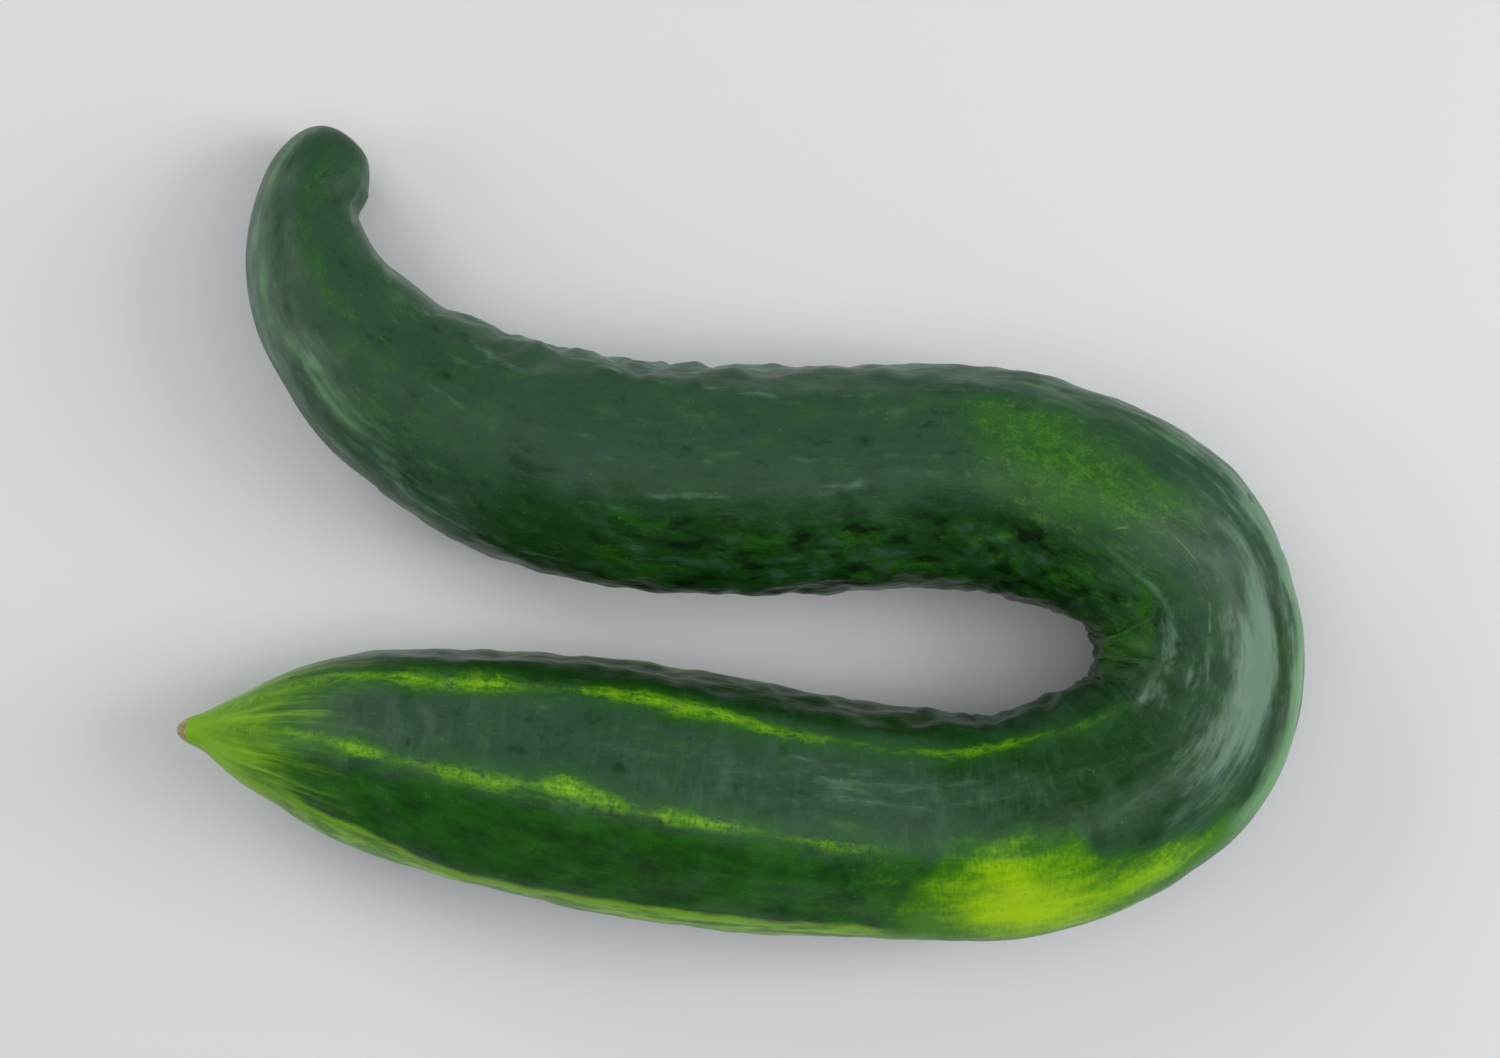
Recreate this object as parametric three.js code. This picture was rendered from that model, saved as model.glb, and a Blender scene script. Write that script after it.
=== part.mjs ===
// A long cucumber that grew in an S: a hooked neck at the stem end, a straight stretch, a tight
// half turn, and a second straight stretch that runs back and tapers to the blossom end.
// It is one solid, as the fruit is, and it lies on three low spots round its weight.
// Millimetres. X and Y lie on the surface it rests on, and Z is up.

import * as THREE from "three";

// The middle line of the fruit, from the stem end to the blossom end, as [x, y, height].
const hook = [
  [-70.7, 71.6, 9.2],
  [-75.0, 66.0, 11.2],
  [-77.5, 59.0, 13.1],
  [-77.0, 50.7, 15.2],
  [-73.7, 42.1, 16.8],
  [-68.1, 34.4, 17.6],
  [-62.1, 27.7, 18.0],
];
const upperArm = [
  [-54.4, 22.8, 18.1],
  [-47.0, 18.6, 18.7],
  [-39.0, 15.3, 19.7],
  [-30.2, 12.9, 20.9],
  [-13.4, 10.1, 22.1],
  [4.0, 9.7, 22.6],
  [21.2, 10.0, 22.0],
  [38.2, 10.3, 21.6],
  [52.0, 8.3, 21.3],
];
const bend = {
  centre: [58.0, -22.4],
  radius: 25.5,
  from: 66, // degrees from +X, turning clockwise
  to: -66,
  steps: 5,
  heights: [21.4, 19.4, 18.3, 19.4, 20.9],
};
const lowerArm = [
  [57.4, -50.1, 21.6],
  [46.0, -52.3, 21.9],
  [33.6, -52.0, 22.2],
  [16.2, -50.5, 22.6],
  [-1.0, -48.4, 22.9],
  [-18.2, -45.7, 22.4],
  [-35.2, -43.0, 21.8],
  [-52.4, -40.5, 21.2],
  [-69.2, -37.9, 20.8],
  [-78.0, -36.8, 20.0],
  [-86.6, -36.4, 19.0],
  [-94.4, -35.7, 18.0],
  [-101.7, -35.3, 17.4],
];

// The outline of one side of the fruit as if it were straight: distance from the stem end, then
// radius. It starts in the shallow pit of the stem scar and ends on the blossom scar.
const outline = [
  [0.9, 0],
  [0.6, 2.0],
  [0.0, 3.2],
  [1.2, 5.6],
  [4.0, 7.6],
  [9.0, 9.2],
  [15.0, 9.8],
  [24.0, 11.9],
  [33.0, 13.9],
  [43.0, 15.5],
  [61.0, 18.0],
  [79.0, 20.0],
  [96.0, 20.5],
  [122.0, 20.7],
  [148.0, 20.3],
  [165.0, 20.2],
  [180.0, 19.9],
  [196.0, 19.2],
  [217.0, 18.7],
  [240.0, 19.2],
  [256.0, 20.3],
  [272.0, 20.4],
  [293.0, 20.6],
  [316.0, 22.2],
  [337.0, 22.5],
  [359.0, 21.3],
  [381.0, 18.4],
  [392.5, 15.0],
  [401.6, 10.9],
  [407.7, 7.3],
  [413.1, 3.8],
  [416.7, 2.2],
  [418.3, 1.0],
  [418.7, 0],
];

// Six blunt ridges run the whole length, sharpest near the blossom end.
const ridgeCount = 6;
const ridgeHeight = [0, 0.15, 0.3, 0.3, 0.3, 0.55, 0.65, 0]; // at even distances
const topRidge = [-14, 2, -6, 2, 4, 16, 6, 0]; // degrees from straight up, at even distances

// The skin between the neck and the blossom end's taper is uneven: lengthwise folds, and knobs
// that are coarsest beside the neck and inside the half turn. A net's meshes are so long, and so
// many of them go round the fruit.
const knobs = { mesh: 6, count: 18, start: 0, height: 1.2 };
const wrinkles = { mesh: 4, count: 6, start: 3, height: 0.38 };
const lengthwise = { mesh: 24, count: 17, start: 11, height: 1 };
const unevenFrom = [36, 70]; // smooth before the first, full from the second
const unevenTo = [378, 402];
const knobbyEverywhere = 0.13;
const knobbyPlaces = [
  { at: 102, angle: 78, height: 0.62, along: 46, round: 30 },
  { at: 125, angle: -84, height: 0.3, along: 55, round: 28 },
  { at: 208, angle: -84, height: 0.5, along: 30, round: 42 },
  { at: 262, angle: -84, height: 0.34, along: 30, round: 32 },
  { at: 330, angle: -82, height: 0.2, along: 50, round: 28 },
  { at: 190, angle: 62, height: 0.22, along: 36, round: 24 },
  { at: 135, angle: -46, height: 0.2, along: 50, round: 22 },
];
const wrinkledPlace = { at: 226, angle: -92, along: 36, round: 42 };
const foldedEverywhere = 0.2;
const foldedPlaces = [
  { at: 110, angle: 58, height: 0.25, along: 60, round: 34 },
  { at: 215, angle: 55, height: 0.2, along: 30, round: 28 },
];

// Single folds (or grooves, below zero): height, half width, and the way each runs as pairs of
// distance from the stem end and angle from straight up.
const singleFolds = [
  { height: 0.4, half: 2.6, path: [[14, 58], [35, 58], [52, 55], [60, 50], [68, 44], [80, 40], [92, 37]] },
  { height: 0.5, half: 2.4, path: [[84, 68], [90, 60], [95, 53], [100, 47], [105, 51], [109, 62], [113, 72]] },
  { height: 0.45, half: 2.4, path: [[106, 50], [115, 50], [123, 43], [138, 42], [148, 41], [157, 45], [164, 46]] },
  { height: 0.3, half: 2.2, path: [[80, -16], [95, -12], [115, -8], [130, -6], [145, -1], [164, 0]] },
  { height: 0.25, half: 2.2, path: [[60, -50], [75, -53], [90, -55], [100, -58]] },
  { height: 0.4, half: 2.4, path: [[150, 52], [165, 52], [180, 48], [196, 42], [206, 38]] },
  { height: 0.35, half: 2.4, path: [[182, -8], [190, -13], [200, -18], [215, -25], [228, -32], [238, -37]] },
  { height: 0.3, half: 2.4, path: [[196, 22], [208, 17], [218, 11], [228, 6], [242, 2]] },
  { height: -0.6, half: 2.3, path: [[203, 51], [210, 49], [222, 48], [232, 44], [240, 38]] },
  { height: 0.45, half: 3.0, path: [[196, 60], [212, 60], [235, 63], [252, 62]] },
  { height: 0.3, half: 2.6, path: [[160, 64], [176, 66], [190, 70], [204, 76]] },
];
const foldEnd = 9; // a single fold rises and fades over this distance

// Single swellings (or dents, below zero) of this fruit: distance from the stem end, angle from
// straight up, height, and how far each reaches along the fruit and round it.
const swellings = [
  { at: 6, angle: 90, height: 0.6, along: 4.5, round: 34 }, // shoulder beside the stem scar
  { at: 14, angle: 90, height: -0.5, along: 6, round: 45 }, // waist behind that shoulder
  { at: 30, angle: 90, height: -1.0, along: 13, round: 45 }, // hollow inside the hook
  { at: 191, angle: 90, height: 2.1, along: 14, round: 45 }, // outer shoulder of the half turn
  { at: 193, angle: -90, height: -1.8, along: 12, round: 40 }, // inner corner of the half turn
  { at: 231, angle: 90, height: 0.8, along: 15, round: 45 }, // outer shoulder after it
  { at: 250, angle: -90, height: 1.0, along: 8, round: 45 }, // crease inside the half turn
  { at: 267, angle: -90, height: -0.9, along: 8, round: 45 }, // hollow past that crease
  { at: 401, angle: -90, height: -0.5, along: 7, round: 45 }, // flatter side of the blossom end
];

const rings = 148;
const sides = 36;
const skinColour = 0x2f5233;

function bendPoint(step) {
  const turned = THREE.MathUtils.lerp(bend.from, bend.to, step / (bend.steps - 1));
  const angle = THREE.MathUtils.degToRad(turned);
  return [
    bend.centre[0] + bend.radius * Math.cos(angle),
    bend.centre[1] + bend.radius * Math.sin(angle),
    bend.heights[step],
  ];
}

const bendPoints = Array.from({ length: bend.steps }, (_, step) => bendPoint(step));
const middle = new THREE.CatmullRomCurve3(
  [...hook, ...upperArm, ...bendPoints, ...lowerArm].map((p) => new THREE.Vector3(...p)),
);
middle.arcLengthDivisions = 2000;
const length = middle.getLength();

// A value that changes evenly through a list, at a share of the fruit's length.
function along(list, share) {
  const place = THREE.MathUtils.clamp(share, 0, 1) * (list.length - 1);
  const before = Math.min(Math.floor(place), list.length - 2);
  return THREE.MathUtils.lerp(list[before], list[before + 1], place - before);
}

function ridges(s, angle) {
  const share = s / length;
  const lean = THREE.MathUtils.degToRad(along(topRidge, share));
  return along(ridgeHeight, share) * Math.cos(ridgeCount * (angle - lean));
}

// The angle between two directions round the fruit, in degrees.
function turnedFrom(angle, degrees) {
  const off = angle - THREE.MathUtils.degToRad(degrees);
  return THREE.MathUtils.radToDeg(Math.atan2(Math.sin(off), Math.cos(off)));
}

// 1 at the middle of a place on the skin, falling off to 0 round it.
function near(place, s, angle) {
  const turned = turnedFrom(angle, place.angle);
  return Math.exp(-(((s - place.at) / place.along) ** 2) - (turned / place.round) ** 2);
}

function heightsNear(places, s, angle) {
  return places.reduce((sum, place) => sum + place.height * near(place, s, angle), 0);
}

// A number from 0 to 1, always the same for one corner of a net laid over the skin.
function chance(column, row) {
  const wave = Math.sin(column * 12.9898 + row * 78.233) * 43758.5453;
  return wave - Math.floor(wave);
}

// Uneven lumps, each about as large as a mesh of the net.
function lumps(s, angle, net) {
  const { lerp, smootherstep } = THREE.MathUtils;
  const x = s / net.mesh + net.start + 0.3 * Math.sin(3 * angle + net.start);
  const y = net.count * (angle / (2 * Math.PI) + 0.5) + 0.7 * Math.sin(s / 21 + net.start);
  const [column, row] = [Math.floor(x), Math.floor(y)];
  const slope = (i, j) => {
    const around = (((row + j) % net.count) + net.count) % net.count;
    const lean = 2 * Math.PI * chance(column + i, around);
    return Math.cos(lean) * (x - column - i) + Math.sin(lean) * (y - row - j);
  };
  const [u, v] = [smootherstep(x - column, 0, 1), smootherstep(y - row, 0, 1)];
  const low = lerp(slope(0, 0), slope(1, 0), u);
  const high = lerp(slope(0, 1), slope(1, 1), u);
  return 1.8 * net.height * lerp(low, high, v);
}

function uneven(s, angle) {
  const { smoothstep } = THREE.MathUtils;
  const here = smoothstep(s, ...unevenFrom) * (1 - smoothstep(s, ...unevenTo));
  const fromTop = Math.abs(turnedFrom(angle, 0));
  const knobby =
    knobbyEverywhere * (1 - smoothstep(fromTop, 118, 150)) + heightsNear(knobbyPlaces, s, angle);
  const folded = foldedEverywhere + heightsNear(foldedPlaces, s, angle);
  return (
    here * (knobby * lumps(s, angle, knobs) + folded * lumps(s, angle, lengthwise)) +
    near(wrinkledPlace, s, angle) * lumps(s, angle, wrinkles)
  );
}

// The angle of a fold's path at a distance from the stem end.
function angleAt(path, s) {
  const next = path.findIndex(([distance]) => distance >= s);
  if (next <= 0) return next === 0 ? path[0][1] : path[path.length - 1][1];
  const [[s0, a0], [s1, a1]] = [path[next - 1], path[next]];
  return THREE.MathUtils.mapLinear(s, s0, s1, a0, a1);
}

function folds(s, angle, radius) {
  const { smoothstep } = THREE.MathUtils;
  return singleFolds.reduce((sum, { height, half, path }) => {
    const [from, to] = [path[0][0], path[path.length - 1][0]];
    const ends = smoothstep(s, from, from + foldEnd) * (1 - smoothstep(s, to - foldEnd, to));
    const turned = THREE.MathUtils.degToRad(turnedFrom(angle, angleAt(path, s)));
    return sum + height * ends * Math.exp(-(((turned * radius) / half) ** 2));
  }, 0);
}

// The point of the skin at a distance from the stem end and an angle from straight up, where a
// positive angle is on the left of someone walking from stem to blossom.
function skinPoint(s, radius, angle) {
  const share = THREE.MathUtils.clamp(s / length, 0, 1);
  const centre = middle.getPointAt(share);
  const ahead = middle.getTangentAt(share);
  const left = new THREE.Vector3(0, 0, 1).cross(ahead).normalize();
  const up = ahead.clone().cross(left);
  const fullness = Math.min(1, radius / 8);
  const relief =
    ridges(s, angle) +
    uneven(s, angle) +
    folds(s, angle, radius) +
    heightsNear(swellings, s, angle);
  const out = radius + fullness * relief;
  const point = centre
    .addScaledVector(up, out * Math.cos(angle))
    .addScaledVector(left, out * Math.sin(angle));
  point.z = Math.max(point.z, 0); // flat where it would press into the surface
  return point;
}

function fruitGeometry() {
  const profile = new THREE.SplineCurve(outline.map((p) => new THREE.Vector2(...p)));
  profile.arcLengthDivisions = 2000;
  const stations = profile.getSpacedPoints(rings);
  const inner = stations.slice(1, -1);
  const points = [
    skinPoint(stations[0].x, 0, 0),
    ...inner.flatMap(({ x: s, y: radius }) =>
      Array.from({ length: sides }, (_, k) => skinPoint(s, radius, (2 * Math.PI * k) / sides)),
    ),
    skinPoint(stations[rings].x, 0, 0),
  ];
  const faces = [];
  const at = (ring, k) => 1 + ring * sides + (k % sides);
  const last = points.length - 1;
  for (let k = 0; k < sides; k++) {
    faces.push(0, at(0, k), at(0, k + 1));
    for (let ring = 0; ring < inner.length - 1; ring++) {
      faces.push(at(ring, k), at(ring + 1, k + 1), at(ring, k + 1));
      faces.push(at(ring, k), at(ring + 1, k), at(ring + 1, k + 1));
    }
    faces.push(at(inner.length - 1, k), last, at(inner.length - 1, k + 1));
  }
  const geometry = new THREE.BufferGeometry().setFromPoints(points);
  geometry.setIndex(faces);
  geometry.computeVertexNormals();
  return geometry;
}

const fruit = new THREE.Mesh(
  fruitGeometry(),
  new THREE.MeshStandardMaterial({ color: skinColour, roughness: 0.45, metalness: 0 }),
);
fruit.name = "cucumber";

// The origin is on the surface, under the middle of the fruit's box.
fruit.geometry.computeBoundingBox();
const box = fruit.geometry.boundingBox;
fruit.geometry.translate(-(box.min.x + box.max.x) / 2, -(box.min.y + box.max.y) / 2, 0);

const cucumber = new THREE.Group();
cucumber.add(fruit);
export default cucumber;
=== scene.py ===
# A long cucumber that grew in an S, on a plain pale floor, seen from straight above.
import math

import bpy
import numpy as np
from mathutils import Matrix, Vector


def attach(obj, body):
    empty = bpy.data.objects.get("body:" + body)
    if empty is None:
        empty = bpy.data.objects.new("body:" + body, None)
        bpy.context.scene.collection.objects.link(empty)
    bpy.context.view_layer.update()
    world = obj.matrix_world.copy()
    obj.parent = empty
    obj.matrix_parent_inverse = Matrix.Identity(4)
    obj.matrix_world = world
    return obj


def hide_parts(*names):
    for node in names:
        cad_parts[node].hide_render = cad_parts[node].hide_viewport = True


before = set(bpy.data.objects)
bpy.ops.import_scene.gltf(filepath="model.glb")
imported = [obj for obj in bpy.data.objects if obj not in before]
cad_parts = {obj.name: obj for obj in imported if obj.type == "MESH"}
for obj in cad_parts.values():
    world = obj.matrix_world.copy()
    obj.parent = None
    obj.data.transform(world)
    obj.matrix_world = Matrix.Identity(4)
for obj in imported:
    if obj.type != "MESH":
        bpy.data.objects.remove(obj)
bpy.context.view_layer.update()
bpy.ops.object.select_all(action="DESELECT")


# The cucumber: a fruit that grew as one piece, firm flesh under a thin, waxy, knobbly skin. Its
# body is made as if it had grown straight: a ring at the stem end is extruded and resized along
# the fruit, station by station, and then subdivided until it is smooth.
MM = 0.001
outline = [
    # distance from the stem end and radius, in mm
    [0.9, 0.0],
    [0.6, 2.0],
    [0.0, 3.2],
    [1.2, 5.6],
    [4.0, 7.6],
    [9.0, 9.2],
    [15.0, 9.8],
    [24.0, 11.9],
    [33.0, 13.9],
    [43.0, 15.5],
    [61.0, 18.0],
    [79.0, 20.0],
    [96.0, 20.5],
    [122.0, 20.7],
    [148.0, 20.3],
    [165.0, 20.2],
    [180.0, 19.9],
    [196.0, 19.2],
    [217.0, 18.7],
    [240.0, 19.2],
    [256.0, 20.3],
    [272.0, 20.4],
    [293.0, 20.6],
    [316.0, 22.2],
    [337.0, 22.5],
    [359.0, 21.3],
    [381.0, 18.4],
    [392.5, 15.0],
    [401.6, 10.9],
    [407.7, 7.3],
    [413.1, 3.8],
    [416.7, 2.2],
    [418.3, 1.0],
    [418.7, 0.0],
]
SPANS = 170
SIDES = 36
ROUNDING_LOSS = (2 + math.cos(2 * math.pi / SIDES)) / 3  # subdivision draws a ring in to this


def smooth_path(points, power, steps=60):
    """A smooth curve through all but the first and last point, which only steer its ends."""
    points = np.array(points, float)
    gaps = np.linalg.norm(np.diff(points, axis=0), axis=1) ** power
    t = np.linspace(0, 1, steps, endpoint=False)[:, None]
    spans = []
    for i in range(len(points) - 3):
        p0, p1, p2, p3 = points[i : i + 4]
        g0, g1, g2 = gaps[i : i + 3]
        start = g1 * ((p1 - p0) / g0 - (p2 - p0) / (g0 + g1) + (p2 - p1) / g1)
        end = g1 * ((p2 - p1) / g1 - (p3 - p1) / (g1 + g2) + (p3 - p2) / g2)
        bow = 3 * (p2 - p1) - 2 * start - end
        twist = 2 * (p1 - p2) + start + end
        spans.append(p1 + start * t + bow * t**2 + twist * t**3)
    return np.vstack(spans + [points[-2:-1]])


def run_along(path):
    """The distance from the start of a path to each of its points."""
    return np.r_[0, np.cumsum(np.linalg.norm(np.diff(path, axis=0), axis=1))]


def smoothstep(x, low, high):
    """A smooth change from 0 to 1 between two limits."""
    t = np.clip((x - low) / (high - low), 0, 1)
    return t * t * (3 - 2 * t)


# The rings stand nearly four times as close at both ends, where the outline curves most.
side_line = smooth_path([outline[0], *outline, outline[-1]], 0)
side_run = run_along(side_line)
from_end = np.minimum(side_run, side_run[-1] - side_run)
crowding = 1 / (0.8 + 2.2 * smoothstep(from_end, 4, 34))
crowd_run = np.r_[0, np.cumsum(np.diff(side_run) * (crowding[1:] + crowding[:-1]) / 2)]
picks = np.interp(np.linspace(0, crowd_run[-1], SPANS + 1)[1:-1], crowd_run, side_run)
stations = [[np.interp(p, side_run, side_line[:, i]) for i in (0, 1)] for p in picks]

first_place, first_radius = stations[0]
bpy.ops.mesh.primitive_circle_add(
    vertices=SIDES,
    radius=first_radius * MM,
    fill_type="NGON",
    location=(first_place * MM, 0, 0),
    rotation=(0, math.pi / 2, 0),
)
cucumber = bpy.context.object
cucumber.name = "cucumber_skin"
bpy.ops.object.transform_apply(location=True, rotation=True, scale=True)
bpy.ops.object.mode_set(mode="EDIT")
bpy.ops.mesh.select_all(action="SELECT")
for (place, radius), (next_place, next_radius) in zip(stations, stations[1:]):
    step = (next_place - place) * MM
    bpy.ops.mesh.extrude_region_move(TRANSFORM_OT_translate={"value": (step, 0, 0)})
    growth = next_radius / radius
    bpy.ops.transform.resize(
        value=(1, growth, growth), center_override=(next_place * MM, 0, 0)
    )
bpy.ops.mesh.select_all(action="SELECT")
bpy.ops.mesh.normals_make_consistent(inside=False)
bpy.ops.object.mode_set(mode="OBJECT")
rounding = cucumber.modifiers.new("rounding", "SUBSURF")
rounding.levels = rounding.render_levels = 2
bpy.ops.object.modifier_apply(modifier=rounding.name)


# The relief of the skin: six blunt ridges, folds and dents, and single swellings, such as the
# shoulder beside the stem scar. Each point of the skin moves in or out from the middle.
skin = cucumber.data
straight = np.empty(len(skin.vertices) * 3)
skin.vertices.foreach_get("co", straight)
straight = straight.reshape(-1, 3) / MM
along = straight[:, 0]
radius = np.hypot(straight[:, 1], straight[:, 2]) / ROUNDING_LOSS
angle = np.arctan2(straight[:, 1], straight[:, 2])
degrees = np.degrees(angle)

# The middle line that the fruit follows: x, y and height in mm.
hook = [
    [-70.7, 71.6, 9.2],
    [-75.0, 66.0, 11.2],
    [-77.5, 59.0, 13.1],
    [-77.0, 50.7, 15.2],
    [-73.7, 42.1, 16.8],
    [-68.1, 34.4, 17.6],
    [-62.1, 27.7, 18.0],
]
upper_arm = [
    [-54.4, 22.8, 18.1],
    [-47.0, 18.6, 18.7],
    [-39.0, 15.3, 19.7],
    [-30.2, 12.9, 20.9],
    [-13.4, 10.1, 22.1],
    [4.0, 9.7, 22.6],
    [21.2, 10.0, 22.0],
    [38.2, 10.3, 21.6],
    [52.0, 8.3, 21.3],
]
lower_arm = [
    [57.4, -50.1, 21.6],
    [46.0, -52.3, 21.9],
    [33.6, -52.0, 22.2],
    [16.2, -50.5, 22.6],
    [-1.0, -48.4, 22.9],
    [-18.2, -45.7, 22.4],
    [-35.2, -43.0, 21.8],
    [-52.4, -40.5, 21.2],
    [-69.2, -37.9, 20.8],
    [-78.0, -36.8, 20.0],
    [-86.6, -36.4, 19.0],
    [-94.4, -35.7, 18.0],
    [-101.7, -35.3, 17.4],
]
BEND_CENTRE = (58.0, -22.4)
BEND_RADIUS = 25.5
bend = [
    [
        BEND_CENTRE[0] + BEND_RADIUS * math.cos(math.radians(turned)),
        BEND_CENTRE[1] + BEND_RADIUS * math.sin(math.radians(turned)),
        height,
    ]
    for turned, height in [(66, 21.4), (33, 19.4), (0, 18.3), (-33, 19.4), (-66, 20.9)]
]
places = np.array(hook + upper_arm + bend + lower_arm)
before, after = 2 * places[0] - places[1], 2 * places[-1] - places[-2]
middle = smooth_path([before, *places, after], 0.5)
middle_run = run_along(middle)
length = middle_run[-1]
share = along / length


def by_share(values):
    """Values spaced evenly from the stem end to the blossom end, read at each point."""
    return np.interp(share, np.linspace(0, 1, len(values)), values)


RIDGES = 6
ridge_height = by_share([0, 0.15, 0.3, 0.3, 0.3, 0.55, 0.65, 0])
top_ridge = np.radians(by_share([-14, 2, -6, 2, 4, 16, 6, 0]))
relief = ridge_height * np.cos(RIDGES * (angle - top_ridge))


def round_from(turn):
    """How many degrees round the fruit each point lies from an angle."""
    return (degrees - turn + 180) % 360 - 180


def bump(at, turn, reach_along, reach_round):
    """1 at a place on the skin, falling off to 0 round it."""
    off_round = round_from(turn) / reach_round
    return np.exp(-(((along - at) / reach_along) ** 2) - off_round**2)


def spots(*rows):
    """Bumps added up. A row is a strength, a distance, an angle, and the reach along and round."""
    return sum(strength * bump(*spot) for strength, *spot in rows)


def chance(column, row):
    """A number from 0 to 1, always the same for one corner of a net laid over the skin."""
    wave = np.sin(column * 12.9898 + row * 78.233) * 43758.5453
    return wave - np.floor(wave)


def lumps(size, count, start):
    """Uneven lumps, about -1 to 1, in a net with meshes so long and so many round the fruit."""
    x = along / size + start + 0.3 * np.sin(3 * angle + start)
    y = count * (angle / (2 * np.pi) + 0.5) + 0.7 * np.sin(along / 21 + start)
    column, row = np.floor(x), np.floor(y)
    x, y = x - column, y - row
    u, v = (part**3 * (part * (6 * part - 15) + 10) for part in (x, y))

    def slope(i, j):
        lean = 2 * np.pi * chance(column + i, (row + j) % count)
        return np.cos(lean) * (x - i) + np.sin(lean) * (y - j)

    low, high = ((1 - u) * slope(0, j) + u * slope(1, j) for j in (0, 1))
    return 1.8 * ((1 - v) * low + v * high)


# Lengthwise folds, and knobs that are coarse beside the neck and inside the half turn.
grown_rough = smoothstep(along, 36, 70) * (1 - smoothstep(along, 378, 402))
knobbly = 0.13 * (1 - smoothstep(np.abs(degrees), 118, 150))
knobbly += spots(
    (0.62, 102, 78, 46, 30),
    (0.3, 125, -84, 55, 28),
    (0.5, 208, -84, 30, 42),
    (0.34, 262, -84, 30, 32),
    (0.2, 330, -82, 50, 28),
    (0.22, 190, 62, 36, 24),
    (0.2, 135, -46, 50, 22),
)
relief += grown_rough * knobbly * (1.2 * lumps(6, 18, 0) + 0.5 * lumps(3.1, 34, 7))
relief += 0.38 * bump(226, -92, 36, 42) * lumps(4, 6, 3)
lengthwise = 0.2 + spots((0.25, 110, 58, 60, 34), (0.2, 215, 55, 30, 28))
relief += grown_rough * lengthwise * lumps(24, 17, 11)

# Single folds, and one groove. Each fades out at both ends.
FADE = 9  # mm
for height, half_width, path in [
    # height and half width in mm, then the way it runs: distance from the stem end, angle
    (0.4, 2.6, [(14, 58), (35, 58), (52, 55), (60, 50), (68, 44), (80, 40), (92, 37)]),
    (0.5, 2.4, [(84, 68), (90, 60), (95, 53), (100, 47), (105, 51), (109, 62), (113, 72)]),
    (0.45, 2.4, [(106, 50), (115, 50), (123, 43), (138, 42), (148, 41), (157, 45), (164, 46)]),
    (0.3, 2.2, [(80, -16), (95, -12), (115, -8), (130, -6), (145, -1), (164, 0)]),
    (0.25, 2.2, [(60, -50), (75, -53), (90, -55), (100, -58)]),
    (0.4, 2.4, [(150, 52), (165, 52), (180, 48), (196, 42), (206, 38)]),
    (0.35, 2.4, [(182, -8), (190, -13), (200, -18), (215, -25), (228, -32), (238, -37)]),
    (0.3, 2.4, [(196, 22), (208, 17), (218, 11), (228, 6), (242, 2)]),
    (-0.6, 2.3, [(203, 51), (210, 49), (222, 48), (232, 44), (240, 38)]),
    (0.45, 3.0, [(196, 60), (212, 60), (235, 63), (252, 62)]),
    (0.3, 2.6, [(160, 64), (176, 66), (190, 70), (204, 76)]),
]:
    path = np.array(path, float)
    first, last = path[0, 0], path[-1, 0]
    off_line = round_from(np.interp(along, path[:, 0], path[:, 1]))
    across = np.radians(off_line) * radius / half_width
    ends = smoothstep(along, first, first + FADE) * smoothstep(-along, -last, FADE - last)
    relief += height * ends * np.exp(-(across**2))

relief += spots(
    (0.6, 6, 90, 4.5, 34),  # shoulder beside the stem scar
    (-0.5, 14, 90, 6, 45),  # waist behind it
    (-1.0, 30, 90, 13, 45),  # hollow inside the hook
    (2.1, 191, 90, 14, 45),  # outer shoulder of the half turn
    (-1.8, 193, -90, 12, 40),  # inner corner of the half turn
    (0.8, 231, 90, 15, 45),  # outer shoulder after it
    (1.0, 250, -90, 8, 45),  # crease inside the half turn
    (-0.9, 267, -90, 8, 45),  # hollow past that crease
    (-0.5, 401, -90, 7, 45),  # flatter side of the blossom end
)


# The S. Each ring of the straight body is carried to its place on the middle line and turned
# square to it, and the low spots that would press into the floor are flat.
def bent(distance, out, round_angle):
    """The place in space of points given by their distance along the straight fruit."""
    ahead = np.gradient(middle, axis=0) / np.gradient(middle_run)[:, None]
    where = np.clip(distance, 0, length)
    centre, heading = (
        np.stack([np.interp(where, middle_run, line[:, i]) for i in range(3)], axis=-1)
        for line in (middle, ahead)
    )
    heading /= np.linalg.norm(heading, axis=-1, keepdims=True)
    left = np.cross((0, 0, 1), heading)
    left /= np.linalg.norm(left, axis=-1, keepdims=True)
    up = np.cross(heading, left)
    shift = up * (out * np.cos(round_angle))[:, None] + left * (out * np.sin(round_angle))[:, None]
    return centre + shift


FULL_RADIUS = 8  # mm, below which the relief fades with the fruit
fullness = np.minimum(1, radius / FULL_RADIUS)
shape = bent(along, radius + fullness * relief, angle)
model_centre = (shape.min(axis=0) + shape.max(axis=0)) / 2 * (1, 1, 0)
shape -= model_centre
shape[:, 2] = np.maximum(shape[:, 2], 0)
skin.vertices.foreach_set("co", (shape * MM).ravel())
skin.update()
bpy.ops.object.shade_smooth()


# What the skin keeps of its growing, stripes, bands, patches and wax, and the painted sheen,
# highlights and shade laid over them, in the fruit's own coordinates (distance from the stem end,
# angle from the top). Each is kept on the mesh as a field, which the material frays and mottles.
LEAST_RADIUS = 3  # mm, so that marks keep some width where the fruit runs out
FAR = 9.0  # mm, for the points that no line of marks passes


def keep_field(name, values):
    """Keeps one number for each point of the skin, for the material to read."""
    skin.attributes.new(name, "FLOAT", "POINT").data.foreach_set("value", values)


def follow(path):
    """For a line of marks: which points it passes, how far off each is in mm, and its values."""
    path = np.array(path, float)
    passed = (along >= path[0, 0]) & (along <= path[-1, 0])
    turn, *values = (np.interp(along, path[:, 0], path[:, i]) for i in range(1, path.shape[1]))
    return passed, np.radians(round_from(turn)) * np.maximum(radius, LEAST_RADIUS), values


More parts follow.
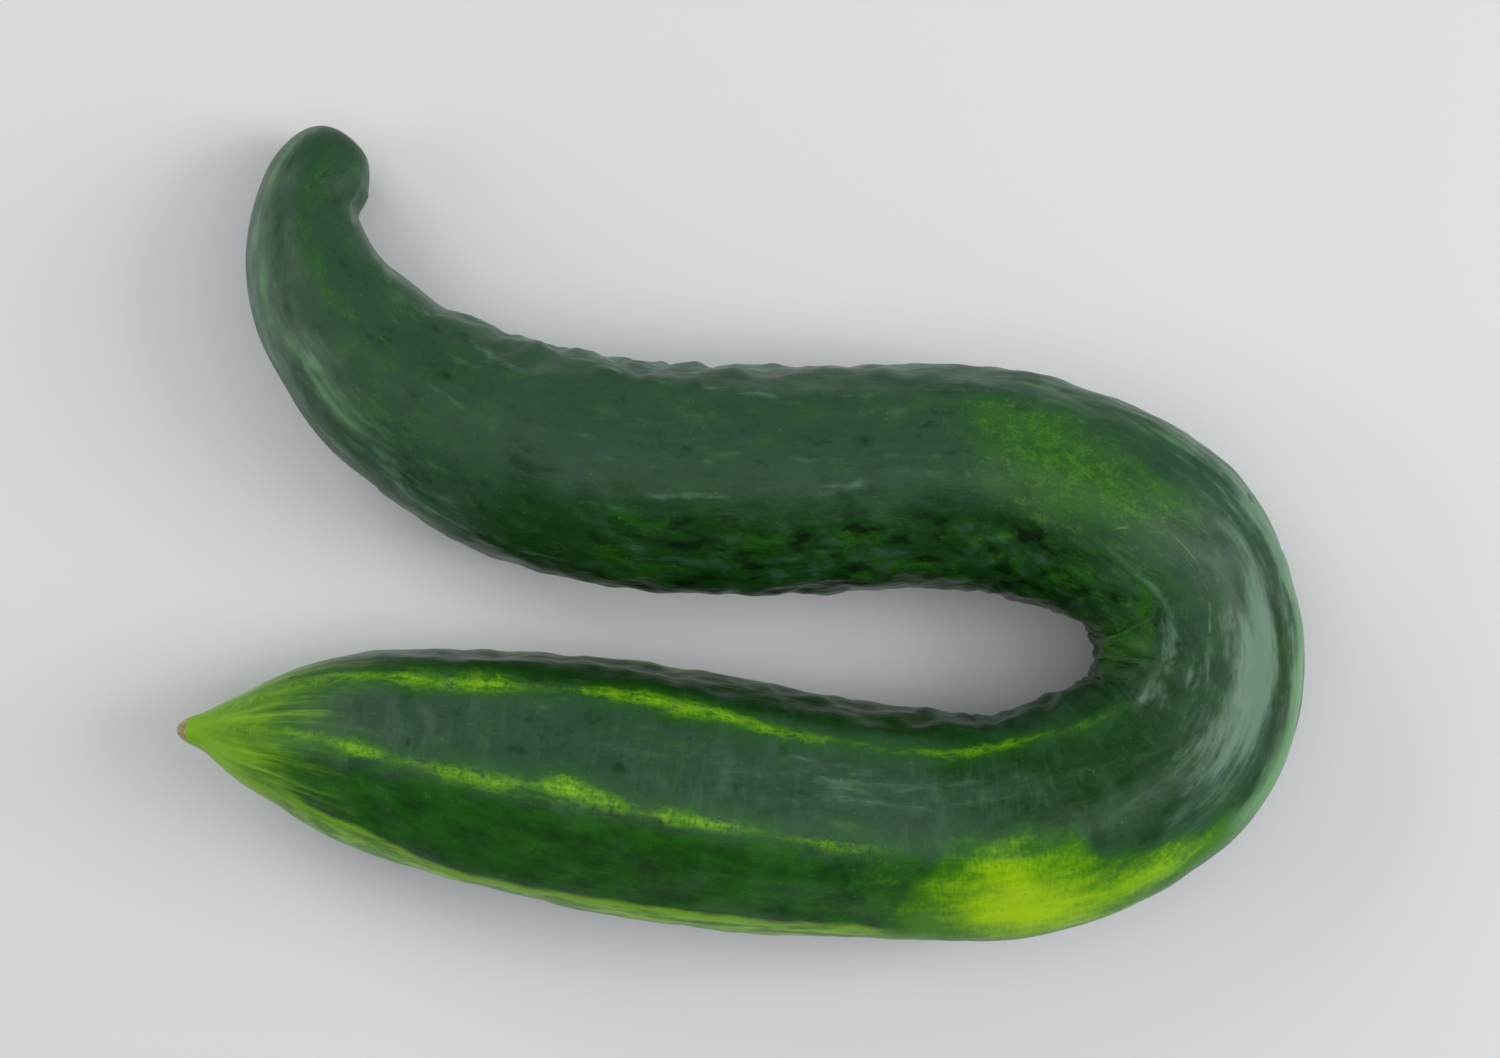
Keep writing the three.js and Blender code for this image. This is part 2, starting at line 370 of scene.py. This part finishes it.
def inside(from_edge, to_edge):
    """How many mm inside a zone each point lies. A zone goes round from one edge to the other."""
    from_edge, to_edge = np.array(from_edge, float), np.array(to_edge, float)
    start = np.interp(along, from_edge[:, 0], from_edge[:, 1])
    end = np.interp(along, to_edge[:, 0], to_edge[:, 1])
    deep = np.radians(np.minimum(degrees - start, end - degrees))
    deep *= np.maximum(radius, LEAST_RADIUS)
    return np.minimum(deep, np.minimum(along - from_edge[0, 0], from_edge[-1, 0] - along))


stripe_lines = [
    # distance from the stem end, angle, half width in mm, strength
    [
        (228, -40, 0.2, 0.0),
        (240, -41, 0.4, 0.35),
        (249, -44, 0.5, 0.7),
        (254, -46, 0.3, 0.45),
        (264, -48.5, 0.6, 0.9),
        (272, -46, 0.6, 0.8),
        (280, -42, 0.5, 0.6),
        (300, -41.5, 0.7, 0.65),
        (312, -42.5, 1.0, 0.85),
        (322, -46, 1.3, 0.95),
        (334, -48, 1.4, 1.0),
        (341, -48.5, 1.2, 0.85),
        (347, -47, 0.6, 0.5),
        (353, -45.5, 0.8, 0.6),
        (360, -46, 1.4, 0.9),
        (372, -47, 1.2, 0.95),
        (382, -48, 1.4, 0.9),
        (390, -46, 1.2, 0.7),
        (398, -44, 1.4, 0.6),
        (410, -44, 1.0, 0.5),
        (418, -44, 0.8, 0.0),
    ],
    [
        (268, 10, 0.4, 0.0),
        (286, 9, 0.6, 0.3),
        (296, 9, 1.1, 0.45),
        (303, 8, 0.6, 0.4),
        (314, 5.5, 1.0, 0.65),
        (324, 4.5, 1.2, 0.85),
        (332, 4, 0.6, 0.55),
        (340, 1, 1.7, 0.8),
        (346, -1, 2.0, 0.95),
        (352, 1, 0.9, 0.7),
        (358, 2, 1.5, 0.95),
        (366, 1.5, 1.4, 1.0),
        (371, 0, 0.6, 0.5),
        (378, -1, 0.9, 0.75),
        (383, -3, 1.2, 0.9),
        (389, -6, 0.7, 0.8),
        (398, -8, 0.6, 0.9),
        (410, -8, 0.6, 0.5),
        (418, -8, 0.5, 0.0),
    ],
    [
        (296, 18, 0.1, 0.0),
        (312, 12, 0.3, 0.3),
        (326, 9, 0.2, 0.1),
        (366, 7, 0.3, 0.25),
        (384, 3, 0.3, 0.0),
    ],
    [
        (352, -52, 0.2, 0.0),
        (364, -53, 0.3, 0.5),
        (378, -54, 0.4, 0.5),
        (392, -53, 0.3, 0.3),
    ],
    [
        (290, 112, 1.2, 0.0),
        (320, 110, 1.4, 0.8),
        (380, 104, 1.7, 1.0),
        (410, 101, 1.2, 0.5),
        (418, 100, 1.0, 0.0),
    ],
    [
        (270, 166, 1.2, 0.0),
        (310, 168, 1.2, 0.8),
        (370, 160, 1.7, 1.0),
        (410, 158, 1.2, 0.5),
        (418, 158, 1.0, 0.0),
    ],
    [
        (280, -148, 1.2, 0.0),
        (318, -146, 1.4, 0.8),
        (380, -150, 1.6, 1.0),
        (410, -148, 1.2, 0.5),
        (418, -148, 1.0, 0.0),
    ],
    [
        (286, -98, 1.0, 0.0),
        (322, -97, 1.2, 0.8),
        (384, -100, 1.7, 1.0),
        (410, -98, 1.2, 0.5),
        (418, -98, 1.0, 0.0),
    ],
]
stripe_edge = np.full(len(along), FAR)
stripe_strength = np.zeros(len(along))
for line in stripe_lines:
    passed, across, (half_width, strength) = follow(line)
    edge = np.where(passed, np.abs(across) - half_width, FAR)
    nearer = edge < stripe_edge
    stripe_edge[nearer] = edge[nearer]
    stripe_strength[nearer] = strength[nearer]
keep_field("stripe_edge", stripe_edge)
keep_field("stripe_strength", stripe_strength)

# The pale green band low on the blossom half: sharp against the dark skin above it, and
# running out towards the underside. The edges of a zone are distance and angle.
pale_from = [
    *[(248, 76), (264, 70), (276, 64), (290, 60), (305, 58), (330, 57)],
    *[(358, 58), (368, 56), (380, 46), (392, 41), (414, 36)],
]
pale_to = [(248, 79), (264, 82), (276, 86), (290, 88), (330, 88), (362, 86), (380, 80), (414, 70)]
keep_field("pale_edge", inside(pale_from, pale_to))

# The yellow patch, where the outer side of the half turn runs out into the lower stretch, and
# its brightest part.
patch_from = [
    *[(238, 50), (246, 38), (251, 31), (255, 26), (258.5, 8)],
    *[(264, 3), (275, 4), (281, 14), (285, 30), (288, 48)],
]
patch_to = [(238, 62), (248, 68), (254, 76), (262, 84), (274, 84), (282, 74), (288, 62)]
keep_field("yellow_edge", inside(patch_from, patch_to))
core = spots(
    (0.5, 265, 66, 10, 14),
    (0.85, 270, 24, 8, 19),
    (0.75, 264, 48, 10, 13),
    (0.5, 272, 46, 7, 12),
    (0.6, 248, 44, 7, 11),
)
keep_field("yellow_core", core)

# Speckled places: loose patches before and inside the half turn, a streak from the stem end, and
# a place beside the yellow patch.
speckled = spots(
    (0.8, 174, 10, 15, 26),
    (0.5, 164, 34, 12, 16),
    (0.4, 190, 22, 10, 16),
    (0.3, 196, -20, 12, 20),
    (0.45, 208, -50, 20, 26),
    (0.4, 206, -62, 14, 20),
    (0.36, 18, 4, 14, 9),
    (0.34, 38, 10, 16, 8),
    (0.2, 9, 8, 6, 22),
    (0.3, 60, -22, 22, 18),
    (0.5, 290, 26, 8, 26),
)
keep_field("speckled", speckled)

# Wax bloom and painted light, from 0 on the deep green skin to 1 where it turns bluish, and more
# than
# 1 where it lies as a veil. Its rise towards positive angles, the outer side of the neck, upper
# stretch and half turn, is partly painted light falling on that side. It falls away on the knobby
# side, and low down on the blossom half.
# Painted light: the bloom rises towards the side at positive angles, as if lit from there.
outer_lit_side = smoothstep(degrees, -24, 62) * (1 - smoothstep(degrees, 95, 150))
bloom_and_light = 0.42 + 0.5 * outer_lit_side
bloom_and_light += spots(
    (0.4, 206, -40, 26, 36),
    (0.3, 248, -56, 18, 16),
    (0.45, 40, -20, 40, 40),
    (0.3, 120, 4, 50, 22),
    (0.3, 20, 40, 24, 40),
)
knob_stretch = smoothstep(along, 74, 96) * (1 - smoothstep(along, 176, 196))
bloom_and_light -= 0.8 * knob_stretch * smoothstep(-degrees, 14, 34)
low_stretch = smoothstep(along, 268, 296)
low_bloom = 0.78 - 0.75 * smoothstep(-degrees, 46, 56)
bloom_and_light = bloom_and_light * (1 - low_stretch) + low_bloom * low_stretch
# Painted dark reflection: the bloom is cut away along the groove on the half turn's outer side.
bloom_and_light = np.clip(bloom_and_light - 0.8 * bump(216, 46, 12, 6), 0, 1)
# Painted sheen on the hook's left side, and a grey veil before the half turn.
bloom_and_light += spots((1.1, 22, -54, 32, 28), (0.25, 48, -26, 26, 16), (0.5, 196, 26, 16, 20))
keep_field("wax_bloom_and_light", bloom_and_light)

# Frosted wax, partly a painted sheen: along the outer side of the neck and the half turn, in spots,
# and along the single folds. The broad spots on the half turn and on both sides of the hook are
# painted sheen, and the lines along the folds are painted highlights on their crests. Two strips of
# the half turn are cleared of it, as a painted dark reflection along the groove there.
outer_side = smoothstep(degrees, 52, 84) * (1 - smoothstep(degrees, 95, 140))
frost_and_sheen = 0.55 * outer_side * smoothstep(along, 30, 60) * (1 - smoothstep(along, 236, 262))
# Most of these spots are painted sheen: the broad ones on the half turn and on both sides of the
# hook.
frost_and_sheen += spots(
    (0.42, 24, -60, 30, 16),
    (0.15, 58, -50, 26, 20),
    (0.35, 24, 64, 30, 20),
    (1.0, 220, 26, 17, 17),
    (0.6, 212, 40, 14, 12),
    (0.6, 206, 62, 20, 12),
    (0.3, 236, 8, 8, 12),
    (-0.4, 204, 20, 4, 14),
    (0.16, 130, 6, 40, 12),
    (0.22, 38, -22, 18, 14),
    (0.3, 222, -12, 10, 14),
    (0.25, 300, -20, 30, 14),
)
# Painted highlights along the crests of the single folds and along streaks on the half turn.
for path in [
    # distance from the stem end, angle, half width in mm, strength
    [
        (180, -6, 2.0, 0.1),
        (190, -13, 2.2, 0.4),
        (202, -19, 2.0, 0.45),
        (214, -25, 2.0, 0.3),
        (222, -28, 2.0, 0.0),
    ],
    [
        (206, -14, 1.6, 0.0),
        (214, -20, 1.6, 0.4),
        (220, -25, 1.2, 0.1),
        (233, -33, 2.4, 0.6),
        (238, -36, 2.0, 0.0),
    ],
    [
        (92, -12, 1.2, 0.0),
        (104, -10, 1.3, 0.2),
        (130, -7, 1.2, 0.2),
        (145, -1, 1.2, 0.15),
        (160, 0, 1.2, 0.0),
    ],
    [(62, -51, 1.4, 0.0), (70, -53, 1.4, 0.4), (86, -55, 1.4, 0.3), (98, -58, 1.4, 0.0)],
    [(60, 50, 1.6, 0.2), (68, 44, 1.4, 0.3), (80, 40, 1.2, 0.25), (92, 37, 1.2, 0.0)],
    [
        (84, 68, 1.4, 0.2),
        (95, 53, 1.4, 0.25),
        (100, 47, 1.4, 0.3),
        (105, 51, 1.4, 0.25),
        (113, 72, 1.4, 0.1),
    ],
    [
        (106, 50, 1.2, 0.1),
        (115, 50, 1.3, 0.25),
        (123, 43, 1.3, 0.25),
        (148, 41, 1.2, 0.2),
        (164, 46, 1.2, 0.0),
    ],
]:
    passed, across, (half_width, strength) = follow(path)
    frost_and_sheen += np.where(passed, strength * np.exp(-((across / half_width) ** 2)), 0)
# Painted dark reflection: two strips along that groove lose their frost and sheen.
frost_and_sheen *= np.clip(1 - spots((1.1, 216, 46, 12, 5.5), (0.5, 230, 44, 8, 4)), 0, 1)
keep_field("frost_and_sheen", np.clip(frost_and_sheen, 0, 1.2))

# Knobs show, with painted highlights and shade, on the near side before the half turn, and wax is
# combed across the lower stretch.
knobby = smoothstep(-degrees, 12, 26) * smoothstep(degrees, -98, -80)
knobby *= smoothstep(along, 84, 104) * (1 - smoothstep(along, 196, 214))
knobby += spots((0.5, 214, -56, 16, 30), (0.5, 250, -84, 40, 20), (0.4, 182, 20, 16, 26))
keep_field("knobby", np.clip(knobby, 0, 1))
keep_field("combed", smoothstep(along, 226, 268) * (0.4 + 0.6 * smoothstep(degrees, -50, -20)))

# A pale green rim along the outermost side of the half turn and of the hook, partly real pale green
# and partly a painted reflection of the bright floor and the lights.
rim_and_reflection = spots(
    (1.0, 226, 63, 20, 9),
    (0.6, 244, 55, 12, 9),
    (0.25, 176, 60, 24, 14),
    (0.4, 20, -44, 22, 10),
    (0.4, 48, -34, 18, 10),
)
keep_field("rim_and_reflection", np.clip(rim_and_reflection, 0, 1))

# The lively leaf green between the middle stripe and the pale band.
leafy_from = [(276, 14), (300, 11), (330, 7), (352, 4), (372, 4), (392, -1), (420, -8)]
leafy_to = [(276, 66), (300, 62), (330, 60), (362, 60), (380, 50), (420, 40)]
keep_field("leafy", inside(leafy_from, leafy_to))

# Old scratches and nicks: the way across each scratch, signed, and round dots.
NICK_ALONG = 0.7  # mm
NICK_ROUND = NICK_ALONG / 18 * 57  # degrees, where the fruit's radius is 18 mm
scratch = np.full(len(along), FAR)
for path in [
    [(184, -8), (187, 1)],
    [(191, 11), (197, 9), (203, 6), (211, 0)],
]:
    passed, across, _ = follow(path)
    nearer = passed & (np.abs(across) < np.abs(scratch))
    scratch[nearer] = across[nearer]
keep_field("scratch", scratch)
nicks = sum(
    bump(at, turn, NICK_ALONG, NICK_ROUND)
    for at, turn in [(199, 64), (374, -11), (396, -55), (141, -33), (246, 66)]
)
keep_field("nicks", nicks)


# The patterns of the skin follow its points as if the fruit were straight, and at the blossom
# end as if it were one thickness too, so that streaks run out to the tip.
def keep_places(name, values):
    """Keeps one place in mm for each point of the skin, for the patterns to follow."""
    places = skin.attributes.new(name, "FLOAT_VECTOR", "POINT")
    places.data.foreach_set("vector", values.astype(np.float32).ravel())


EVEN_RADIUS = 20
keep_places("grown_straight", straight)
even = [along, EVEN_RADIUS * np.cos(angle), EVEN_RADIUS * np.sin(angle)]
keep_places("grown_even", np.stack(even, 1))


# The skin's material: a waxy gloss over layers of green, each laid over the ground with its own
# mask. Small helpers wire its nodes, and take plain values or other sockets.
material = bpy.data.materials.new("cucumber_skin")
material.use_nodes = True
tree = material.node_tree
shader = tree.nodes["Principled BSDF"]


def feed(socket, value):
    """Links another socket to this one, or gives this one a plain value."""
    if isinstance(value, bpy.types.NodeSocket):
        socket.id_data.links.new(value, socket)
    else:
        socket.default_value = value


def put(kind, *values, **settings):
    """Adds a node, sets it up, feeds its first inputs in order, and gives its first output."""
    node = tree.nodes.new("ShaderNode" + kind)
    for name, value in settings.items():
        setattr(node, name, value)
    for socket, value in zip(node.inputs, values):
        if value is not None:
            feed(socket, value)
    return node.outputs[0]


def maths(operation, *values):
    return put("Math", *values, operation=operation)


def ramp(value, low, high, to_low=0.0, to_high=1.0):
    """A smooth change from one value to another between two limits."""
    node = tree.nodes.new("ShaderNodeMapRange")
    node.interpolation_type = "SMOOTHSTEP"
    for socket, given in zip(node.inputs, (value, low, high, to_low, to_high)):
        feed(socket, given)
    return node.outputs[0]


def mixed(mask, under, over):
    """One colour laid over another through a mask. Its colours are a Mix node's sockets 6 and 7."""
    node = tree.nodes.new("ShaderNodeMix")
    node.data_type = "RGBA"
    feed(node.inputs[0], mask)
    feed(node.inputs[6], under)
    feed(node.inputs[7], over)
    return node.outputs[2]


def noise(place, scale, detail, roughness, stretch=None):
    """Soft noise from 0 to 1. The stretch is the pattern's relative size along each axis."""
    if stretch:
        place = put("Mapping", place, None, None, [1 / v for v in stretch])
    return put("TexNoise", place, None, scale, detail, roughness)


def field(name, output="Fac"):
    """What the mesh keeps under a name."""
    node = tree.nodes.new("ShaderNodeAttribute")
    node.attribute_name = name
    return node.outputs[output]


def shifted(value, noise_value, reach):
    """A value moved up and down by noise, so many units at the most."""
    below = maths("SUBTRACT", value, reach)
    return maths("MULTIPLY_ADD", noise_value, 2 * reach, below)


def weighed(value, weight):
    return maths("MULTIPLY", value, weight)


def colour(red, green, blue):
    return (red, green, blue, 1)


# The patterns that the layers share, from hand-size clouds down to grain.
grown_place = field("grown_straight", "Vector")
even_place = field("grown_even", "Vector")
clouds = noise(grown_place, 0.045, 3, 0.6, (2.0, 1, 1))
mottle = noise(grown_place, 0.22, 5, 0.62, (1.7, 1, 1))
blotches = noise(grown_place, 0.5, 4, 0.65, (1.3, 1, 1))
grain = noise(grown_place, 1.9, 3, 0.7)
lumpy = noise(grown_place, 0.3, 2, 0.5, (1.9, 1, 1))
across_streaks = noise(grown_place, 0.26, 2.5, 0.55, (0.42, 2.2, 2.2))
hatching = noise(grown_place, 0.9, 2, 0.6, (0.45, 1.6, 1.6))
along_streaks = noise(grown_place, 0.5, 4, 0.6, (5, 1, 1))
fine_streaks = noise(grown_place, 1.0, 3, 0.65, (3.2, 1, 1))
long_streaks = noise(even_place, 0.5, 4, 0.65, (9, 1, 1))

# Ground: deep green, bluish under wax and under the light painted into the bloom, with livelier and
# darker blotches in it.
bloom_and_light_place = shifted(shifted(field("wax_bloom_and_light"), clouds, 0.5), mottle, 0.7)
wax_and_light = ramp(bloom_and_light_place, 0.1, 0.95)
ground = mixed(wax_and_light, colour(0.008, 0.048, 0.006), colour(0.026, 0.074, 0.038))
lively = ramp(mottle, 0.48, 0.7)
ground = mixed(weighed(lively, 0.5), ground, colour(0.02, 0.095, 0.012))
leaf_mask = ramp(shifted(field("leafy"), mottle, 5.0), -2.0, 3.0)
leaf_green = ramp(shifted(mottle, blotches, 0.1), 0.35, 0.65)
leaf_green = mixed(leaf_green, colour(0.007, 0.062, 0.003), colour(0.014, 0.11, 0.004))
ground = mixed(leaf_mask, ground, leaf_green)
ground = mixed(weighed(ramp(mottle, 0.44, 0.28), 0.5), ground, colour(0.004, 0.024, 0.005))
ground = mixed(weighed(ramp(blotches, 0.56, 0.72), 0.3), ground, colour(0.03, 0.1, 0.02))

# Where the bloom and painted light are strongest the green is veiled in grey: wax, and a painted
# sheen on the hook's left side.
veil_and_sheen = weighed(ramp(bloom_and_light_place, 0.9, 2.1), 0.9)
ground = mixed(veil_and_sheen, ground, colour(0.115, 0.175, 0.125))

# Knobs: a painted highlight, pale and bluish, on their tops, livelier green on their flanks, and
# painted shade, dark, between them.
knobby = field("knobby")
# Painted shade between the knobs.
ground = mixed(weighed(ramp(lumpy, 0.5, 0.33), knobby), ground, colour(0.002, 0.014, 0.002))
ground = mixed(weighed(ramp(mottle, 0.5, 0.68), knobby), ground, colour(0.014, 0.09, 0.002))
# Painted highlight on the knob tops.
knob_painted_highlights = weighed(ramp(shifted(lumpy, blotches, 0.1), 0.54, 0.7), knobby)
ground = mixed(weighed(knob_painted_highlights, 0.6), ground, colour(0.035, 0.09, 0.05))

# Wax is combed round the lower stretch in thin streaks and soft smears, but hardly where it is
# leaf green.
not_leafy = maths("SUBTRACT", 1.0, weighed(leaf_mask, 0.8))
combed = weighed(field("combed"), not_leafy)
streak_mask = weighed(ramp(across_streaks, 0.5, 0.78), combed)
ground = mixed(weighed(streak_mask, 0.42), ground, colour(0.055, 0.125, 0.075))
smears = noise(grown_place, 0.13, 3, 0.6, (0.7, 1.5, 1.5))
smear_mask = weighed(ramp(smears, 0.52, 0.76), combed)
ground = mixed(weighed(smear_mask, 0.6), ground, colour(0.065, 0.125, 0.09))

# The frosted wax with its painted sheen and highlights, and the pale green rim with its painted
# reflection.
frost_and_sheen_field = field("frost_and_sheen")
frost_and_sheen_mask = shifted(shifted(frost_and_sheen_field, along_streaks, 0.95), mottle, 0.5)
frost_and_sheen_mask = weighed(ramp(frost_and_sheen_mask, 0.15, 0.95), ramp(frost_and_sheen_field, 0.02, 0.3))
# Frost and painted sheen in one pale grey-green.
ground = mixed(frost_and_sheen_mask, ground, colour(0.13, 0.23, 0.16))
# Pale green rim, partly real colour and partly a painted reflection of the floor and the lights.
rim_and_reflection_field = field("rim_and_reflection")
rim_and_reflection_mask = shifted(shifted(rim_and_reflection_field, along_streaks, 0.6), mottle, 0.25)
rim_and_reflection_mask = weighed(ramp(rim_and_reflection_mask, 0.1, 0.95), 0.9)
ground = mixed(rim_and_reflection_mask, ground, colour(0.16, 0.34, 0.155))

# Speckled places: yellow-green flecks, and scattered fine ones everywhere.
speckle_field = field("speckled")
haze = weighed(ramp(shifted(speckle_field, mottle, 0.5), 0.1, 0.85), 0.7)
ground = mixed(haze, ground, colour(0.03, 0.13, 0.01))
flecks = maths("MULTIPLY_ADD", blotches, 0.55, weighed(grain, 0.45))
flecks = maths("MULTIPLY_ADD", speckle_field, 0.13, flecks)
fleck_mask = weighed(ramp(flecks, 0.55, 0.75), ramp(speckle_field, 0.0, 0.6, 0.25, 0.8))
ground = mixed(weighed(fleck_mask, 0.8), ground, colour(0.075, 0.23, 0.018))

# The pale green band, streaked lengthwise, yellower at its sharp upper edge.
pale_place = shifted(field("pale_edge"), mottle, 1.6)
pale_mask = weighed(ramp(pale_place, -0.7, 1.1), ramp(along_streaks, 0.3, 0.55, 0.45, 1.0))
pale_streaks = ramp(shifted(along_streaks, blotches, 0.2), 0.38, 0.66)
pale_green = mixed(pale_streaks, colour(0.12, 0.34, 0.018), colour(0.29, 0.56, 0.065))
pale_green = mixed(ramp(pale_place, 3.2, 1.0), pale_green, colour(0.2, 0.42, 0.012))
ground = mixed(pale_mask, ground, pale_green)

# The yellow patch: frayed green edge, then yellow-green, and yellow in its core.
patch_place = shifted(shifted(field("yellow_edge"), mottle, 4.5), blotches, 2.2)
patch_place = shifted(shifted(patch_place, hatching, 1.2), grain, 0.8)
patch_core = shifted(shifted(field("yellow_core"), mottle, 0.6), along_streaks, 0.45)
patch_core = shifted(shifted(patch_core, blotches, 0.3), hatching, 0.3)
patch_green = ramp(patch_core, 0.0, 0.7)
patch_colour = mixed(patch_green, colour(0.06, 0.23, 0.003), colour(0.21, 0.45, 0.003))
patch_colour = mixed(ramp(patch_core, 0.5, 1.25), patch_colour, colour(0.4, 0.65, 0.003))
patch_fringe = weighed(ramp(patch_place, -4.5, 2.0), 0.85)
ground = mixed(patch_fringe, ground, colour(0.028, 0.15, 0.003))
ground = mixed(ramp(patch_place, -1.5, 5.5), ground, patch_colour)

# The blossom end turns yellow-green in streaks that run together, towards the tip.
from_stem = put("SeparateXYZ", grown_place)
tip_place = shifted(shifted(from_stem, mottle, 6.0), long_streaks, 12.0)
tip_yellow = ramp(tip_place, 388, 410)
tip_green = mixed(tip_yellow, colour(0.045, 0.19, 0.003), colour(0.22, 0.46, 0.008))
tip_streaks = weighed(ramp(long_streaks, 0.48, 0.72), 0.5)
tip_green = mixed(tip_streaks, tip_green, colour(0.3, 0.52, 0.05))
ground = mixed(ramp(tip_place, 380, 406), ground, tip_green)

# Stripes: clumps of yellow-green fibres, frayed, over a green halo.
fray = shifted(shifted(field("stripe_edge"), mottle, 2.2), blotches, 1.8)
strength = field("stripe_strength")
halo = weighed(ramp(fray, 3.6, -0.8), weighed(strength, 0.6))
ground = mixed(halo, ground, colour(0.03, 0.14, 0.007))
stripe_place = shifted(shifted(fray, hatching, 0.7), fine_streaks, 1.8)
clumps = shifted(shifted(strength, blotches, 0.8), hatching, 0.4)
clumps = ramp(shifted(clumps, long_streaks, 0.6), 0.05, 1.05)
fibres = shifted(shifted(fine_streaks, hatching, 0.2), blotches, 0.3)
stripe_colour = mixed(ramp(fibres, 0.3, 0.75), colour(0.05, 0.21, 0.003), colour(0.24, 0.49, 0.016))
ground = mixed(weighed(ramp(stripe_place, 0.6, -1.0), clumps), ground, stripe_colour)

# Both scars are cork.
cork = mixed(ramp(grain, 0.35, 0.65), colour(0.22, 0.17, 0.07), colour(0.5, 0.42, 0.2))
ground = mixed(ramp(shifted(from_stem, grain, 0.5), 416.0, 416.7), ground, cork)
ground = mixed(ramp(shifted(from_stem, grain, 0.3), 0.75, 0.5), ground, cork)

# Scratches are pale and broken, nicks dark, and the pores pale dots.
scratch_width = ramp(maths("ABSOLUTE", field("scratch")), 0.36, 0.1)
scratch_mask = weighed(scratch_width, weighed(ramp(along_streaks, 0.4, 0.62), 0.6))
ground = mixed(scratch_mask, ground, colour(0.12, 0.3, 0.06))
nick_mask = ramp(field("nicks"), 0.25, 0.7)
ground = mixed(weighed(nick_mask, 0.6), ground, colour(0.012, 0.025, 0.012))
pores = ramp(put("TexVoronoi", grown_place, None, 0.5), 0.13, 0.05)
pores = weighed(pores, ramp(mottle, 0.42, 0.6, 0.1, 0.5))
ground = mixed(pores, ground, colour(0.09, 0.2, 0.07))

# The wax dulls the gloss, and the finest relief is a bump of the same patterns.
BUMP_STRENGTH = 0.45
BUMP_DEPTH = 0.0007
shader.inputs["Specular IOR Level"].default_value = 0.2
feed(shader.inputs["Base Color"], ground)
rough = maths("ADD", ramp(wax_and_light, 0, 1, 0.3, 0.37), weighed(frost_and_sheen_mask, 0.03))
feed(shader.inputs["Roughness"], shifted(rough, blotches, 0.05))
height = maths("MULTIPLY_ADD", mottle, 0.55, weighed(blotches, 0.28))
height = maths("MULTIPLY_ADD", grain, 0.07, height)
height = maths("MULTIPLY_ADD", weighed(lumpy, knobby), 1.6, height)
height = maths("MULTIPLY_ADD", along_streaks, 0.35, height)
height = maths("MULTIPLY_ADD", nick_mask, -0.3, height)
feed(shader.inputs["Normal"], put("Bump", BUMP_STRENGTH, BUMP_DEPTH, None, height))
skin.materials.append(material)
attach(cucumber, "root")
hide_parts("cucumber")


# The floor: a plain, pale, matt board that the cucumber lies on, wide enough for every view.
# It is one flat plane, and no part of the object.
bpy.ops.mesh.primitive_plane_add(size=6, location=(0, 0, 0))
floor = bpy.context.object
floor.name = "floor"
paint = bpy.data.materials.new("pale_floor")
paint.use_nodes = True
board = paint.node_tree.nodes["Principled BSDF"]
board.inputs["Base Color"].default_value = colour(0.78, 0.785, 0.8)
board.inputs["Roughness"].default_value = 0.6
floor.data.materials.append(paint)


# The light: five soft panels hung round and above the fruit, each turned towards it, and a weak,
# slightly blue light from all round.
scene = bpy.context.scene
scene.view_settings.view_transform = "Standard"


def panel(name, place, size, power):
    """A rectangle of light at a place in metres, turned towards the middle of the fruit."""
    light = bpy.data.lights.new(name, "AREA")
    light.shape = "RECTANGLE"
    light.size, light.size_y = size
    light.energy = power
    lamp = bpy.data.objects.new(name, light)
    scene.collection.objects.link(lamp)
    lamp.location = place
    towards_fruit = Vector((0, 0, 0)) - Vector(place)
    lamp.rotation_euler = towards_fruit.to_track_quat("-Z", "Y").to_euler()


panel("ceiling_light", (0, 0, 1.5), (1.5, 1.5), 6.6)
panel("window_light", (1.06, 0, 0.66), (0.6, 0.7), 6.6)
panel("high_window_light", (0.77, 0, 0.985), (0.6, 0.6), 2.4)
panel("back_light", (-0.76, 0.76, 0.66), (0.6, 0.6), 3.4)
panel("left_light", (-1.08, 0, 0.62), (0.6, 0.6), 2.5)
world = bpy.data.worlds.new("soft_room")
scene.world = world
world.use_nodes = True
room = world.node_tree.nodes["Background"]
room.inputs["Color"].default_value = colour(0.9, 0.95, 1)
room.inputs["Strength"].default_value = 0.18


# The camera: straight above the middle of the S and looking down, through a long lens, with a
# margin of floor all round the fruit.
camera_data = bpy.data.cameras.new("camera")
camera_data.lens = 80
camera_data.sensor_width = 36
camera = bpy.data.objects.new("camera", camera_data)
scene.collection.objects.link(camera)
camera.location = (0.0019, 0, 0.62)
scene.camera = camera
